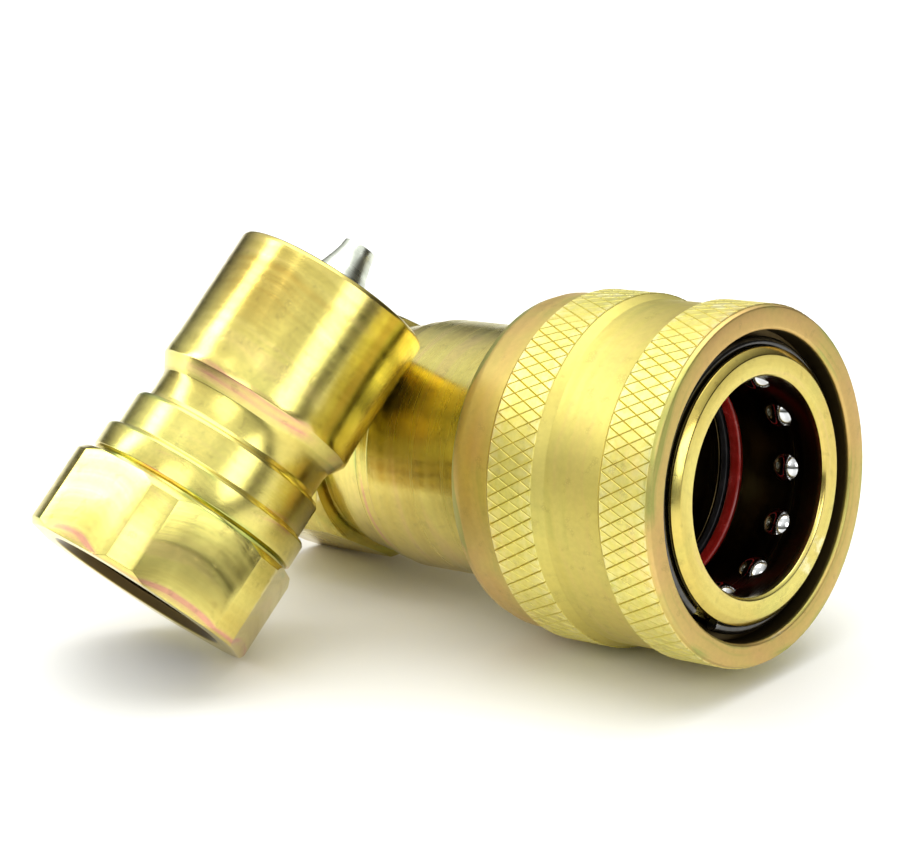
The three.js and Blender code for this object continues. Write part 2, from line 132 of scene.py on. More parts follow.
class CouplerColours(bpy.types.PropertyGroup):
    gold: colour("Gold", (0.58, 0.40, 0.085), "Chromate film at its usual thickness")
    deep_gold: colour("Deep gold", (0.50, 0.335, 0.066), "Chromate film of the plug")
    pale_gold: colour("Pale gold", (0.74, 0.65, 0.15), "Chromate film of the sleeve")
    straw: colour("Straw", (0.77, 0.69, 0.20), "Chromate film where it is thin")
    blush: colour("Blush", (0.70, 0.29, 0.24), "Pink tint of the thicker film")
    peach: colour("Peach", (0.84, 0.50, 0.22), "Warm tint at the ends of the sleeve")
    leaf: colour("Leaf", (0.30, 0.44, 0.11), "Green tint of the thickest film")
    bare: colour("Worn", (0.95, 0.90, 0.58), "Plating rubbed bright along an edge")
    # painted shade: near-black laid inside the socket's bore, the sleeve and the plug's port,
    # where little light reaches
    painted_bore_shade: colour("Bore", (0.060, 0.036, 0.018), "Painted shade inside the bores")
    chrome: colour("Ball steel", (0.80, 0.81, 0.83), "Locking balls")
    valve: colour("Valve steel", (0.74, 0.78, 0.68), "Poppets")
    wire: colour("Spring wire", (0.36, 0.37, 0.39), "Springs and circlip")
    dark_wire: colour("Dark wire", (0.085, 0.083, 0.082), "Phosphated snap ring")
    red_rubber: colour("Red rubber", (0.42, 0.016, 0.012), "Bore seal")
    black_rubber: colour("Black rubber", (0.018, 0.018, 0.020), "Other seals")


# ---------------------------------------------------------------- bench work

def start_edit(piece):
    bpy.context.view_layer.objects.active = piece
    piece.select_set(True)
    bpy.ops.object.mode_set(mode="EDIT")


def pick(piece, kind, wanted):
    """Selects, in edit mode, the elements of a kind (VERT, EDGE or FACE) that are wanted."""
    bpy.ops.mesh.select_mode(type=kind)
    bpy.ops.mesh.select_all(action="DESELECT")
    mesh = bmesh.from_edit_mesh(piece.data)
    for element in {"VERT": mesh.verts, "EDGE": mesh.edges, "FACE": mesh.faces}[kind]:
        if wanted(element):
            element.select_set(True)
    mesh.select_flush_mode()
    bmesh.update_edit_mesh(piece.data)


def turn(name, outline, sides=128, solid=False):
    """Turns an outline of (radius, height) points, in mm, round the bench's Z axis.

    An outline closes on itself, unless the piece is solid: then each end is a flat face."""
    bpy.ops.object.select_all(action="DESELECT")
    radius, height = outline[0]
    bpy.ops.mesh.primitive_circle_add(
        vertices=sides, radius=radius * MM, location=(0, 0, height * MM),
        fill_type="NGON" if solid else "NOTHING",
    )
    piece = bpy.context.object
    piece.name = piece.data.name = name
    bpy.ops.object.transform_apply()
    bpy.ops.object.mode_set(mode="EDIT")
    bpy.ops.mesh.select_mode(type="EDGE")
    bpy.ops.mesh.select_all(action="SELECT")
    for (r0, h0), (r1, h1) in zip(outline, outline[1:]):
        bpy.ops.mesh.extrude_region_move(
            TRANSFORM_OT_translate={"value": (0, 0, (h1 - h0) * MM)}
        )
        bpy.ops.transform.resize(value=(r1 / r0, r1 / r0, 1), center_override=(0, 0, h1 * MM))
    if not solid:
        bpy.ops.mesh.select_all(action="DESELECT")
        bpy.ops.mesh.select_non_manifold()
        bpy.ops.mesh.bridge_edge_loops()
    bpy.ops.mesh.select_all(action="SELECT")
    bpy.ops.mesh.normals_make_consistent(inside=False)
    bpy.ops.object.mode_set(mode="OBJECT")
    return piece


def apply_modifier(piece, kind, **settings):
    bpy.ops.object.select_all(action="DESELECT")
    piece.select_set(True)
    bpy.context.view_layer.objects.active = piece
    modifier = piece.modifiers.new(kind.lower(), kind)
    for key, value in settings.items():
        setattr(modifier, key, value)
    bpy.ops.object.modifier_apply(modifier=modifier.name)


def round_edges(piece, width, over=26, steps=3):
    """Rounds every edge that turns by more than some degrees."""
    apply_modifier(
        piece, "BEVEL", width=width * MM, segments=steps, limit_method="ANGLE",
        angle_limit=radians(over), use_clamp_overlap=True,
    )


def mill_flats(piece, across, first_corner):
    """Cuts the six flats of a hexagon, whose first corner lies at that angle."""
    start_edit(piece)
    for i in range(6):
        angle = radians(first_corner + 30 + 60 * i)
        spoke = Vector((cos(angle), sin(angle), 0))
        bpy.ops.mesh.select_all(action="SELECT")
        bpy.ops.mesh.bisect(
            plane_co=spoke * across / 2 * MM, plane_no=spoke, use_fill=True, clear_outer=True,
        )
    bpy.ops.mesh.select_all(action="SELECT")
    bpy.ops.mesh.normals_make_consistent(inside=False)
    bpy.ops.object.mode_set(mode="OBJECT")


def thread(sizes, first, last):
    """Outline of a pipe thread's grooves from the port inwards, with flat crests."""
    pitch = sizes.thread_pitch / MM
    crest, root = sizes.thread_minor / MM, sizes.thread_major / MM
    points = []
    for i in range(int((last - first) / pitch)):
        h = first + i * pitch
        points += [(crest, h), (root, h + 0.40 * pitch), (root, h + 0.52 * pitch),
                   (crest, h + 0.90 * pitch)]
    return points


def lay(piece, half):
    """Lays a piece from its bench in its place, and leaves its object at the origin."""
    bpy.ops.object.select_all(action="DESELECT")
    piece.select_set(True)
    bpy.context.view_layer.objects.active = piece
    piece.matrix_world = half @ piece.matrix_world
    bpy.ops.object.transform_apply(location=True, rotation=True, scale=True)


def install(piece, half, node, body, material, smooth=40):
    """Lays a piece in its place, finishes it and lets it stand for its CAD node."""
    lay(piece, half)
    bpy.ops.object.shade_smooth_by_angle(angle=radians(smooth))
    piece.data.materials.clear()
    piece.data.materials.append(material)
    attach(piece, body)
    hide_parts(node)


# ---------------------------------------------------------------- shader tools

def add(tree, kind, inputs=None, **settings):
    """Adds a node. An input given as a socket is linked, and any other is set."""
    made = tree.nodes.new("ShaderNode" + kind)
    for key, value in settings.items():
        setattr(made, key, value)
    for key, value in (inputs or {}).items():
        if isinstance(value, bpy.types.NodeSocket):
            tree.links.new(value, made.inputs[key])
        else:
            made.inputs[key].default_value = value
    return made


def math(tree, operation, *values):
    return add(tree, "Math", dict(enumerate(values)), operation=operation).outputs[0]


def noise(tree, scale, detail=2.0, roughness=0.5, distortion=0.0, vector=None, w=None):
    inputs = {"Scale": scale, "Detail": detail, "Roughness": roughness, "Distortion": distortion}
    if w is not None:
        return add(tree, "TexNoise", {**inputs, "W": w}, noise_dimensions="1D").outputs["Fac"]
    return add(tree, "TexNoise", {**inputs, "Vector": vector}).outputs["Fac"]


def ramp(tree, value, low, high, to_low=0.0, to_high=1.0):
    """Maps a value from one span to another, with soft ends."""
    inputs = {"Value": value, "From Min": low, "From Max": high,
              "To Min": to_low, "To Max": to_high}
    return add(tree, "MapRange", inputs, interpolation_type="SMOOTHSTEP").outputs["Result"]


def mix(tree, factor, a, b, blend="MIX"):
    made = add(tree, "Mix", data_type="RGBA", blend_type=blend)
    for socket, value in ((made.inputs[0], factor), (made.inputs[6], a), (made.inputs[7], b)):
        if isinstance(value, bpy.types.NodeSocket):
            tree.links.new(value, socket)
        else:
            socket.default_value = value
    return made.outputs[2]


def group(name, takes, gives):
    """Starts a shader node group. takes and gives map socket names to kinds or defaults."""
    tree = bpy.data.node_groups.new(name, "ShaderNodeTree")
    for key, value in takes.items():
        kind = "NodeSocketFloat"
        if value is None:
            kind = "NodeSocketVector"
        elif not isinstance(value, (int, float)):
            kind = "NodeSocketColor"
        socket = tree.interface.new_socket(key, in_out="INPUT", socket_type=kind)
        if value is not None:
            socket.default_value = value
    for key, kind in gives.items():
        tree.interface.new_socket(key, in_out="OUTPUT", socket_type="NodeSocket" + kind)
    return tree, tree.nodes.new("NodeGroupInput").outputs, tree.nodes.new("NodeGroupOutput")


def put_out(tree, output, **values):
    for key, socket in values.items():
        tree.links.new(socket, output.inputs[key])


def use(tree, name, **inputs):
    """Places a shader node group in a material."""
    made = add(tree, "Group")
    made.node_tree = bpy.data.node_groups[name]
    for key, value in inputs.items():
        if isinstance(value, bpy.types.NodeSocket):
            tree.links.new(value, made.inputs[key])
        else:
            made.inputs[key].default_value = value
    return made.outputs


def make_turning_group():
    """Tool marks that run round the axis, on barrels and on end faces alike."""
    tree, given, out = group("turning marks", {"Point": None, "Pitch": 0.25}, {
        "Height": "Float", "Bands": "Float", "Lane": "Float", "Radius": "Float",
        "Depth": "Float"})
    split = add(tree, "SeparateXYZ", {"Vector": given["Point"]}).outputs
    squares = math(tree, "ADD", math(tree, "POWER", split["X"], 2.0),
                   math(tree, "POWER", split["Y"], 2.0))
    radius = math(tree, "MULTIPLY", math(tree, "SQRT", squares), 1000.0)
    height = math(tree, "MULTIPLY", split["Z"], 1000.0)
    lane = math(tree, "ADD", math(tree, "MULTIPLY", radius, 1.3), height)
    wander = noise(tree, 60.0, 1.0, vector=given["Point"])
    lane_here = math(tree, "ADD", lane, math(tree, "MULTIPLY", wander, 0.12))
    fine = noise(tree, 1.0, 3.0, 0.7, w=math(tree, "DIVIDE", lane_here, given["Pitch"]))
    bands = noise(tree, 0.42, 2.0, 0.6, w=lane_here)
    put_out(tree, out, Height=fine, Bands=bands, Lane=lane, Radius=radius, Depth=height)


def make_film_group():
    """Yellow chromate film: gold and straw clouds with pink and green tints in bands."""
    plain = (0.5, 0.5, 0.5, 1)
    tree, given, out = group(
        "chromate film",
        {"Point": None, "Lane": 0.0, "Tint": 0.5, "Zone": 0.0, "Flush": 0.0, "Gold": plain,
         "Straw": plain, "Blush": plain, "Leaf": plain},
        {"Color": "Color", "Cloud": "Float"})
    point = given["Point"]
    cloud = noise(tree, 34.0, 2.0, 0.5, 0.3, vector=point)
    fleck = noise(tree, 900.0, 2.0, 0.6, vector=point)
    drift = math(tree, "ADD", math(tree, "MULTIPLY", cloud, 9.0), given["Lane"])
    rings = noise(tree, 0.16, 3.0, 0.62, w=drift)
    thin = ramp(tree, math(tree, "ADD", math(tree, "MULTIPLY", cloud, 0.55),
                           math(tree, "MULTIPLY", rings, 0.45)), 0.25, 0.70)
    shade = mix(tree, thin, given["Gold"], given["Straw"])
    patch = noise(tree, 38.0, 2.0, 0.5, 1.2, vector=add(
        tree, "VectorMath", {0: point, 1: (0.31, 0.17, 0.05)}, operation="ADD").outputs[0])
    reach = math(tree, "ADD", math(tree, "MULTIPLY", given["Tint"], 0.35), given["Zone"])
    pink = math(tree, "MULTIPLY", ramp(tree, rings, 0.48, 0.66), ramp(tree, patch, 0.42, 0.62))
    steady = math(tree, "MULTIPLY", given["Flush"], ramp(tree, patch, 0.30, 0.60, 0.45, 1.0))
    pink = math(tree, "MINIMUM", math(tree, "MULTIPLY", pink, reach), 0.8)
    pink = math(tree, "MAXIMUM", pink, steady)
    green = math(tree, "MULTIPLY", ramp(tree, rings, 0.56, 0.36), ramp(tree, patch, 0.56, 0.40))
    green = math(tree, "MINIMUM", math(tree, "MULTIPLY", green, reach), 0.7)
    shade = mix(tree, pink, shade, given["Blush"])
    shade = mix(tree, green, shade, given["Leaf"])
    speck = ramp(tree, fleck, 0.30, 0.70, 0.95, 1.03)
    shade = mix(tree, 1.0, shade, add(tree, "CombineColor", {
        "Red": speck, "Green": speck, "Blue": speck}).outputs[0], "MULTIPLY")
    put_out(tree, out, Color=shade, Cloud=cloud)


def make_wear_group():
    """Plating rubbed bright along outer edges, broken up by small scratches."""
    tree, given, out = group("edge wear", {"Point": None, "Amount": 0.5}, {"Mask": "Float"})
    crest = add(tree, "NewGeometry").outputs["Pointiness"]
    edge = ramp(tree, crest, 0.515, 0.60)
    broken = ramp(tree, noise(tree, 700.0, 3.0, 0.6, vector=given["Point"]), 0.35, 0.60)
    mask = math(tree, "MULTIPLY", math(tree, "MULTIPLY", edge, broken), given["Amount"])
    put_out(tree, out, Mask=mask)


def make_pit_group():
    """Fine pits and handling marks on milled and rubbed faces."""
    tree, given, out = group("fine pits", {"Point": None, "Size": 0.4}, {
        "Height": "Float", "Mask": "Float"})
    scale = math(tree, "DIVIDE", 1000.0, given["Size"])
    cells = add(tree, "TexVoronoi", {"Vector": given["Point"], "Randomness": 1.0},
                feature="DISTANCE_TO_EDGE")
    tree.links.new(scale, cells.inputs["Scale"])
    grain = add(tree, "TexNoise", {"Vector": given["Point"], "Detail": 3.0})
    tree.links.new(scale, grain.inputs["Scale"])
    rare = ramp(tree, noise(tree, 420.0, 1.0, vector=given["Point"]), 0.60, 0.72)
    pits = math(tree, "MULTIPLY", rare, ramp(tree, cells.outputs["Distance"], 0.25, 0.05))
    height = math(tree, "SUBTRACT", math(tree, "MULTIPLY", grain.outputs["Fac"], 0.4), pits)
    put_out(tree, out, Height=height, Mask=pits)


def new_material(name, half, metallic, roughness):
    """Starts a material: its tree, its shader and the bench coordinates of its half."""
    material = bpy.data.materials.new(name)
    material.use_nodes = True
    tree = material.node_tree
    tree.nodes.clear()
    shader = add(tree, "BsdfPrincipled", {"Metallic": metallic, "Roughness": roughness})
    out = add(tree, "OutputMaterial")
    tree.links.new(shader.outputs["BSDF"], out.inputs["Surface"])
    place = add(tree, "TexCoord").outputs["Object"]
    point = add(tree, "Mapping", {
        "Vector": place, "Location": half.translation, "Rotation": half.to_euler("XYZ")},
        vector_type="TEXTURE").outputs["Vector"]
    return tree, shader, point


def bump(tree, shader, height, distance, strength=1.0):
    normal = add(tree, "Bump", {"Strength": strength, "Distance": distance * MM, "Height": height})
    tree.links.new(normal.outputs["Normal"], shader.inputs["Normal"])


def solid_colour(value):
    return (*value, 1.0)


def make_zinc(name, half, gold, blush, tint, pitch, rough, zones=(), flush=0.0,
              knurl=None, bore=None):
    """Yellow chromated steel. zones holds depths and reaches where the film is tinted, knurl the
    radii between which a groove gets painted shade, and bore the radius and the depth beyond
    which painted shade darkens the inside."""
    colours = bpy.context.scene.coupler_colours
    tree, shader, point = new_material(name, half, 1.0, rough[0])
    marks = use(tree, "turning marks", Point=point, Pitch=pitch)
    depth, radius = marks["Depth"], marks["Radius"]
    zone = 0.0
    for centre, reach in zones:
        away = math(tree, "ABSOLUTE", math(tree, "SUBTRACT", depth, centre))
        zone = math(tree, "MAXIMUM", zone, ramp(tree, away, reach, reach * 0.2, 0.0, 0.8))
    film = use(tree, "chromate film", Point=point, Lane=marks["Lane"], Tint=tint, Zone=zone,
               Flush=math(tree, "MULTIPLY", zone, flush),
               Gold=solid_colour(gold), Straw=solid_colour(colours.straw),
               Blush=solid_colour(blush), Leaf=solid_colour(colours.leaf))
    worn = use(tree, "edge wear", Point=point, Amount=0.55)["Mask"]
    pits = use(tree, "fine pits", Point=point, Size=0.45)
    shade = mix(tree, math(tree, "MULTIPLY", pits["Mask"], 0.22), film["Color"],
                (0.20, 0.14, 0.05, 1))
    shade = mix(tree, worn, shade, solid_colour(colours.bare))
    if knurl:
        # painted shade: darker down in the knurl's grooves, by their depth
        groove_shade = math(tree, "MULTIPLY", ramp(tree, radius, knurl[1], knurl[0]), 0.38)
        shade = mix(tree, groove_shade, shade, (0.38, 0.28, 0.08, 1))
    # painted shade: the inside beyond the bore radius and depth is mixed towards near-black, in
    # place of the shadow there
    if bore:
        inside = math(tree, "MULTIPLY", ramp(tree, radius, bore[0] + 0.5, bore[0] + 0.1),
                      ramp(tree, depth, bore[1], bore[1] - 1))
        shade = mix(tree, math(tree, "MULTIPLY", inside, 0.94), shade,
                    solid_colour(colours.painted_bore_shade))
    tree.links.new(shade, shader.inputs["Base Color"])
    uneven = math(tree, "ADD", math(tree, "MULTIPLY", marks["Bands"], 0.5),
                  math(tree, "MULTIPLY", film["Cloud"], 0.5))
    tree.links.new(ramp(tree, uneven, 0.35, 0.65, *rough), shader.inputs["Roughness"])
    height = math(tree, "ADD", math(tree, "MULTIPLY", marks["Height"], 0.5),
                  math(tree, "MULTIPLY", pits["Height"], 0.5))
    bump(tree, shader, height, 0.010)


def make_steel(name, half, tone, rough, pitch, distance=0.006):
    """Bare or plated steel with light turning or drawing marks."""
    tree, shader, point = new_material(name, half, 1.0, rough)
    marks = use(tree, "turning marks", Point=point, Pitch=pitch)
    pits = use(tree, "fine pits", Point=point, Size=0.35)
    worn = use(tree, "edge wear", Point=point, Amount=0.5)["Mask"]
    darker = tuple(c * 0.72 for c in tone)
    shade = mix(tree, ramp(tree, marks["Bands"], 0.35, 0.7), solid_colour(tone),
                solid_colour(darker))
    shade = mix(tree, worn, shade, (0.92, 0.92, 0.90, 1))
    tree.links.new(shade, shader.inputs["Base Color"])
    tree.links.new(ramp(tree, marks["Bands"], 0.3, 0.7, rough * 0.75, rough * 1.3),
                   shader.inputs["Roughness"])
    height = math(tree, "ADD", math(tree, "MULTIPLY", marks["Height"], 0.6),
                  math(tree, "MULTIPLY", pits["Height"], 0.4))
    bump(tree, shader, height, distance)


def make_rubber(name, half, tone, rough):
    """Moulded rubber with a faint bloom."""
    tree, shader, point = new_material(name, half, 0.0, rough)
    shader.inputs["Specular IOR Level"].default_value = 0.6
    pits = use(tree, "fine pits", Point=point, Size=0.25)
    bloom = ramp(tree, noise(tree, 240.0, 4.0, 0.6, vector=point), 0.45, 0.75)
    pale = tuple(min(1.0, c * 1.5 + 0.02) for c in tone)
    tree.links.new(mix(tree, bloom, solid_colour(tone), solid_colour(pale)),
                   shader.inputs["Base Color"])
    tree.links.new(ramp(tree, bloom, 0.0, 1.0, rough * 0.85, rough * 1.25),
                   shader.inputs["Roughness"])
    bump(tree, shader, pits["Height"], 0.02, 0.6)


class COUPLER_OT_finishes(bpy.types.Operator):
    """Make the plated, steel and rubber finishes"""
    bl_idname = "coupler.finishes"
    bl_label = "Finishes"

    def execute(self, context):
        colours = context.scene.coupler_colours
        make_turning_group()
        make_film_group()
        make_wear_group()
        make_pit_group()
        gold, deep = tuple(colours.gold), tuple(colours.deep_gold)
        pale = tuple(colours.pale_gold)
        pink, peach = tuple(colours.blush), tuple(colours.peach)
        # bore gives where painted shade darkens the inside; knurl gives the radii of painted shade
        # in the knurl's grooves
        make_zinc("zinc of the socket", SOCKET, gold, pink, 0.6, 0.35, (0.17, 0.28),
                  zones=((-42, 4), (-72, 4), (-84, 3)), bore=(18.9, -0.6))
        make_zinc("zinc of the sleeve", SOCKET, pale, peach, 0.6, 0.30, (0.42, 0.50),
                  zones=((0, 1.5), (-41, 8)), flush=0.9, knurl=(31.00, 31.12),
                  bore=(26.7, -0.2))
        make_zinc("zinc of the plug", PLUG, deep, pink, 0.5, 0.40, (0.15, 0.25),
                  zones=((-26, 2), (-33.5, 2), (-41, 2), (-46.5, 2), (-62, 1.5)),
                  bore=(16.3, -45))
        make_steel("ball steel", SOCKET, tuple(colours.chrome), 0.09, 2.0, 0.001)
        make_steel("valve steel of the socket", SOCKET, tuple(colours.valve), 0.26, 0.3)
        make_steel("valve steel of the plug", PLUG, tuple(colours.valve), 0.26, 0.3)
        make_steel("spring wire of the socket", SOCKET, tuple(colours.wire), 0.35, 0.5)
        make_steel("spring wire of the plug", PLUG, tuple(colours.wire), 0.35, 0.5)
        make_steel("dark wire", SOCKET, tuple(colours.dark_wire), 0.30, 0.6)
        make_rubber("red rubber", SOCKET, tuple(colours.red_rubber), 0.24)
        make_rubber("black rubber of the socket", SOCKET, tuple(colours.black_rubber), 0.45)
        make_rubber("black rubber of the plug", PLUG, tuple(colours.black_rubber), 0.45)
        return {"FINISHED"}


def finish(name):
    return bpy.data.materials[name]


def ball_angle(i):
    return radians(FIRST_BALL + 360 / BALLS * i)


# ---------------------------------------------------------------- pieces of the socket

def seat(sizes, face):
    """The cone that a poppet closes on."""
    mouth, chamber = sizes.seat / MM, sizes.chamber / MM
    return [(chamber, face - 1.2 - (chamber - mouth)), (mouth, face - 1.2)]


class COUPLER_OT_socket_body(bpy.types.Operator):
    """Turn the socket body and bore its ball pockets"""
    bl_idname = "coupler.socket_body"
    bl_label = "Socket body"

    def execute(self, context):
        sizes = context.scene.coupler_sizes
        bore, collar, body = sizes.bore / MM, sizes.collar / MM, sizes.body / MM
        mouth, guide_bore = sizes.seat / MM, sizes.chamber / MM + 1.55
        piece = turn("socket_body_finished", [
            (bore + 0.5, 0), (collar - 1.3, 0), (collar, -1.0), (collar, -1.6),
            (collar - 0.85, -1.6), (collar - 0.85, -4.4), (collar, -4.4), (collar, -37),
            (26.3, -37), (26.8, -37.5), (26.8, -40), (26.3, -40.5), (body, -40.5),
            (body, -70), (body - 0.5, -70.5), (body - 0.6, -73.2), (body - 1.0, -73.6),
            (body - 1.7, -78), (body - 2.3, -81), (body - 3, -83.1),
            (18.3, -83.1), (18, -82.8), (18, -69.1), (guide_bore, -69.1), (guide_bore, -66),
            (sizes.chamber / MM, -66), *seat(sizes, SOCKET_SEAT), (mouth, -43.3),
            (mouth + 0.8, -42.1), (mouth + 3.6, -40.5), (bore, -40.5), (bore, -22.7),
            (bore + 3.1, -22.7), (bore + 3.1, -17.6), (bore, -17.6), (bore, -0.5),
        ])
        round_edges(piece, 0.14)
        self.bore_pockets(sizes, piece)
        install(piece, SOCKET, "socket_body", "socket", finish("zinc of the socket"))
        return {"FINISHED"}

    def bore_pockets(self, sizes, piece):
        reach = sizes.ball / MM + 0.12
        centre = sizes.ball_circle / MM
        outline = [(reach * sin(a), centre - reach * cos(a))
                   for a in (radians(d) for d in range(10, 91, 10))]
        outline.append((reach, sizes.collar / MM + 1.5))
        drill = turn("pocket drill", outline, sides=40, solid=True)
        drills = [drill] + [drill.copy() for _ in range(BALLS - 1)]
        for i, one in enumerate(drills):
            if i:
                one.data = drill.data.copy()
                bpy.context.collection.objects.link(one)
            spoke = Matrix.Rotation(ball_angle(i), 4, "Z")
            one.matrix_world = (Matrix.Translation((0, 0, -sizes.ball_height)) @ spoke
                                @ Matrix.Rotation(pi / 2, 4, "Y"))
        for one in drills:
            apply_modifier(piece, "BOOLEAN", object=one, operation="DIFFERENCE", solver="EXACT")
            bpy.data.objects.remove(one)


class COUPLER_OT_rear_adapter(bpy.types.Operator):
    """Turn the threaded rear adapter and mill its hexagon"""
    bl_idname = "coupler.rear_adapter"
    bl_label = "Rear adapter"

    def execute(self, context):
        sizes = context.scene.coupler_sizes
        minor, major = sizes.thread_minor / MM, sizes.thread_major / MM
        piece = turn("rear_adapter_finished", [
            (12.5, -69.4), (17.2, -69.4), (17.6, -69.8), (17.6, -71), (15.5, -71), (15.5, -73.5),
            (17.6, -73.5), (17.6, -83.4), (19.3, -83.4), (19.3, -84.4), (22.0, -84.4),
            (23.4, -85.3), (23.4, -104.1), (22.4, -105), (major + 0.5, -105),
            (minor, -103.2), *thread(sizes, -103, -87.5), (minor, -86.2), (12.5, -84),
        ])
        mill_flats(piece, 43, 90)
        round_edges(piece, 0.16, 20)
        install(piece, SOCKET, "rear_adapter", "socket", finish("zinc of the socket"))
        return {"FINISHED"}


class COUPLER_OT_locking_sleeve(bpy.types.Operator):
    """Turn the locking sleeve and knurl its two bands"""
    bl_idname = "coupler.locking_sleeve"
    bl_label = "Locking sleeve"

    def execute(self, context):
        sizes = context.scene.coupler_sizes
        outer, waist = sizes.sleeve / MM, sizes.waist / MM
        bands = ((-0.8, -5.6, -10.4), (-24.9, -29.7, -34.5))
        piece = turn("locking_sleeve_finished", [
            (27.2, 0), (30.7, 0), *((outer, h) for h in bands[0]), (waist, -11.2),
            (waist, -22.9), *((outer, h) for h in bands[1]), (30.3, -35.3), (30.0, -41.5),
            (29.3, -43.8), (28.2, -45), (27.2, -45), (27.2, -13), (24.15, -13), (24.15, -8.6),
            (24.74, -4.5), (26.8, -4.5), (26.8, -0.4),
        ], sides=sizes.diamonds)
        start_edit(piece)
        pick(piece, "EDGE", lambda e: e.calc_face_angle(0) > radians(26)
             and not self.in_band(e, bands, outer))
        bpy.ops.mesh.bevel(offset=0.18 * MM, segments=3, affect="EDGES")
        for band in bands:
            self.knurl(piece, sizes, band)
        bpy.ops.object.mode_set(mode="OBJECT")
        install(piece, SOCKET, "locking_sleeve", "sleeve", finish("zinc of the sleeve"), 28)
        return {"FINISHED"}

    def in_band(self, edge, bands, outer):
        heights = [v.co.z / MM for v in edge.verts]
        radius = min(hypot(v.co.x, v.co.y) for v in edge.verts) / MM
        return radius > outer - 0.05 and any(
            b[-1] - 0.01 < h < b[0] + 0.01 for b in bands for h in heights)

    def knurl(self, piece, sizes, band):
        """Turns one grid cell per diamond into raised diamonds between crossing grooves."""
        front, back = band[0] * MM, band[-1] * MM
        step = (band[0] - band[1]) * MM
        outer = sizes.sleeve
        slack = 0.01 * MM

        def on_band(face):
            middle = face.calc_center_median()
            return (back < middle.z < front and hypot(middle.x, middle.y) > outer - 0.5 * MM
                    and hypot(face.normal.x, face.normal.y) > 0.95)

        def on_grid(vertex):
            cells = (front - vertex.co.z) / step
            return abs(cells - round(cells)) < 0.01

        pick(piece, "FACE", on_band)
        bpy.ops.mesh.poke()
        pick(piece, "EDGE", lambda e: all(on_grid(v) for v in e.verts)
             and all(on_band(f) for f in e.link_faces)
             and back + slack < (e.verts[0].co.z + e.verts[1].co.z) / 2 < front - slack)
        bpy.ops.mesh.dissolve_edges(use_verts=False)
        pick(piece, "FACE", on_band)
        shrink = 1 - sizes.knurl_depth / outer
        bpy.ops.transform.resize(value=(shrink, shrink, 1), center_override=(0, 0, 0))
        pick(piece, "FACE", on_band)
        bpy.ops.mesh.inset(
            thickness=sizes.knurl_groove, depth=sizes.knurl_depth, use_individual=True
        )


class COUPLER_OT_snap_ring(bpy.types.Operator):
    """Bend the wire snap ring that stops the sleeve at the nose"""
    bl_idname = "coupler.snap_ring"
    bl_label = "Snap ring"

    def execute(self, context):
        sizes = context.scene.coupler_sizes
        mean = sizes.collar + sizes.ring_wire / 2
        first = radians(RING_MOUTH_AT + RING_MOUTH / 2)
        bpy.ops.object.select_all(action="DESELECT")
        bpy.ops.mesh.primitive_circle_add(
            vertices=20, radius=sizes.ring_wire, fill_type="NGON",
            location=(mean * cos(first), mean * sin(first), RING_PLANE * MM),
            rotation=(pi / 2, 0, first),
        )
        piece = bpy.context.object
        piece.name = piece.data.name = "sleeve_snap_ring_finished"
        bpy.ops.object.transform_apply(location=True, rotation=True)
        start_edit(piece)
        bpy.ops.mesh.select_all(action="SELECT")
        bpy.ops.mesh.spin(
            steps=120, angle=radians(360 - RING_MOUTH), center=(0, 0, RING_PLANE * MM),
            axis=(0, 0, 1),
        )
        bpy.ops.mesh.select_all(action="SELECT")
        bpy.ops.mesh.remove_doubles(threshold=0.001 * MM)
        bpy.ops.mesh.normals_make_consistent(inside=False)
        bpy.ops.object.mode_set(mode="OBJECT")
        round_edges(piece, 0.18, 50)
        install(piece, SOCKET, "sleeve_snap_ring", "socket", finish("dark wire"))
        return {"FINISHED"}


class COUPLER_OT_socket_seals(bpy.types.Operator):
    """Turn the bore seal, its backup ring and the adapter's O-ring"""
    bl_idname = "coupler.socket_seals"
    bl_label = "Socket seals"

    def execute(self, context):
        sizes = context.scene.coupler_sizes
        bore = sizes.bore / MM
        lip = bore - 0.05
        seal = turn("bore_seal_finished", [
            (lip, -18.4), (lip + 0.55, -17.95), (21.3, -17.95), (21.7, -18.4),
            (21.7, -20.3), (21.3, -20.75), (lip + 0.55, -20.75), (lip, -20.3),
        ])
        round_edges(seal, 0.3, 20, 4)
        install(seal, SOCKET, "bore_seal", "socket", finish("red rubber"))
        backup = turn("backup_ring_finished", [
            (bore + 0.05, -21.1), (21.7, -21.1), (21.7, -22.35), (bore + 0.05, -22.35),
        ])
        round_edges(backup, 0.15)
        install(backup, SOCKET, "backup_ring", "socket", finish("black rubber of the socket"))
        o_ring = turn("adapter_o_ring_finished", [
            (16.75 + 0.95 * cos(a), -72.25 + 0.95 * sin(a))
            for a in (2 * pi * i / 16 for i in range(16))
        ], sides=96)
        install(o_ring, SOCKET, "adapter_o_ring", "socket", finish("black rubber of the socket"))
        return {"FINISHED"}


